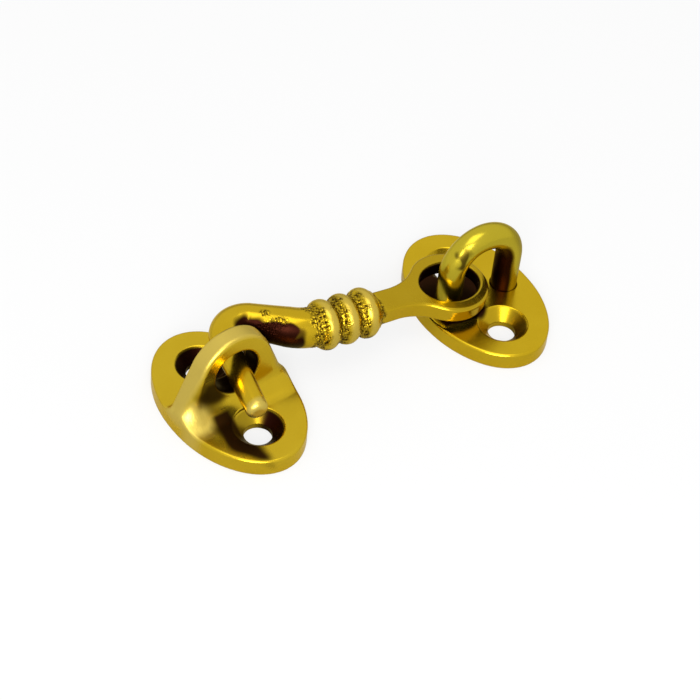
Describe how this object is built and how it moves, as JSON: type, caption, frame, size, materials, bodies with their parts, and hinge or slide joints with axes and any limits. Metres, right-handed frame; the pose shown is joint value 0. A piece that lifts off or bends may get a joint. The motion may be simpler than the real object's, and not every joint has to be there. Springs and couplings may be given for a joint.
{
  "type": "door hook",
  "caption": "Cast brass door hook: ringed, beaded and cranked hook swinging on a riveted staple plate, with a matching oval keeper plate whose arch takes its tip.",
  "frame": {"origin": "centre of the staple plate's back face", "axes": "+X from the keeper plate to the staple plate, +Y along the staple plate's long axis, +Z out of the door"},
  "size_m": [0.0652, 0.0311, 0.0168],
  "materials": {
    "plate_brass": "polished",
    "staple_brass": "polished",
    "hook_brass": "polished, rough cast in the grooves",
    "keeper_brass": "polished"
  },
  "bodies": {
    "plates": {"staple_plate": "plate_brass", "staple": "staple_brass", "keeper_plate": "keeper_brass"},
    "hook": {"hook_arm": "hook_brass"}
  },
  "joints": [
    {"name": "hook_swing", "type": "hinge", "parent": "plates", "child": "hook", "pos_m": [-0.00525, 0.00065, 0.0058], "axis": [-0.0756, 0.0956, -0.9925], "range_deg": [0, 105]}
  ]
}
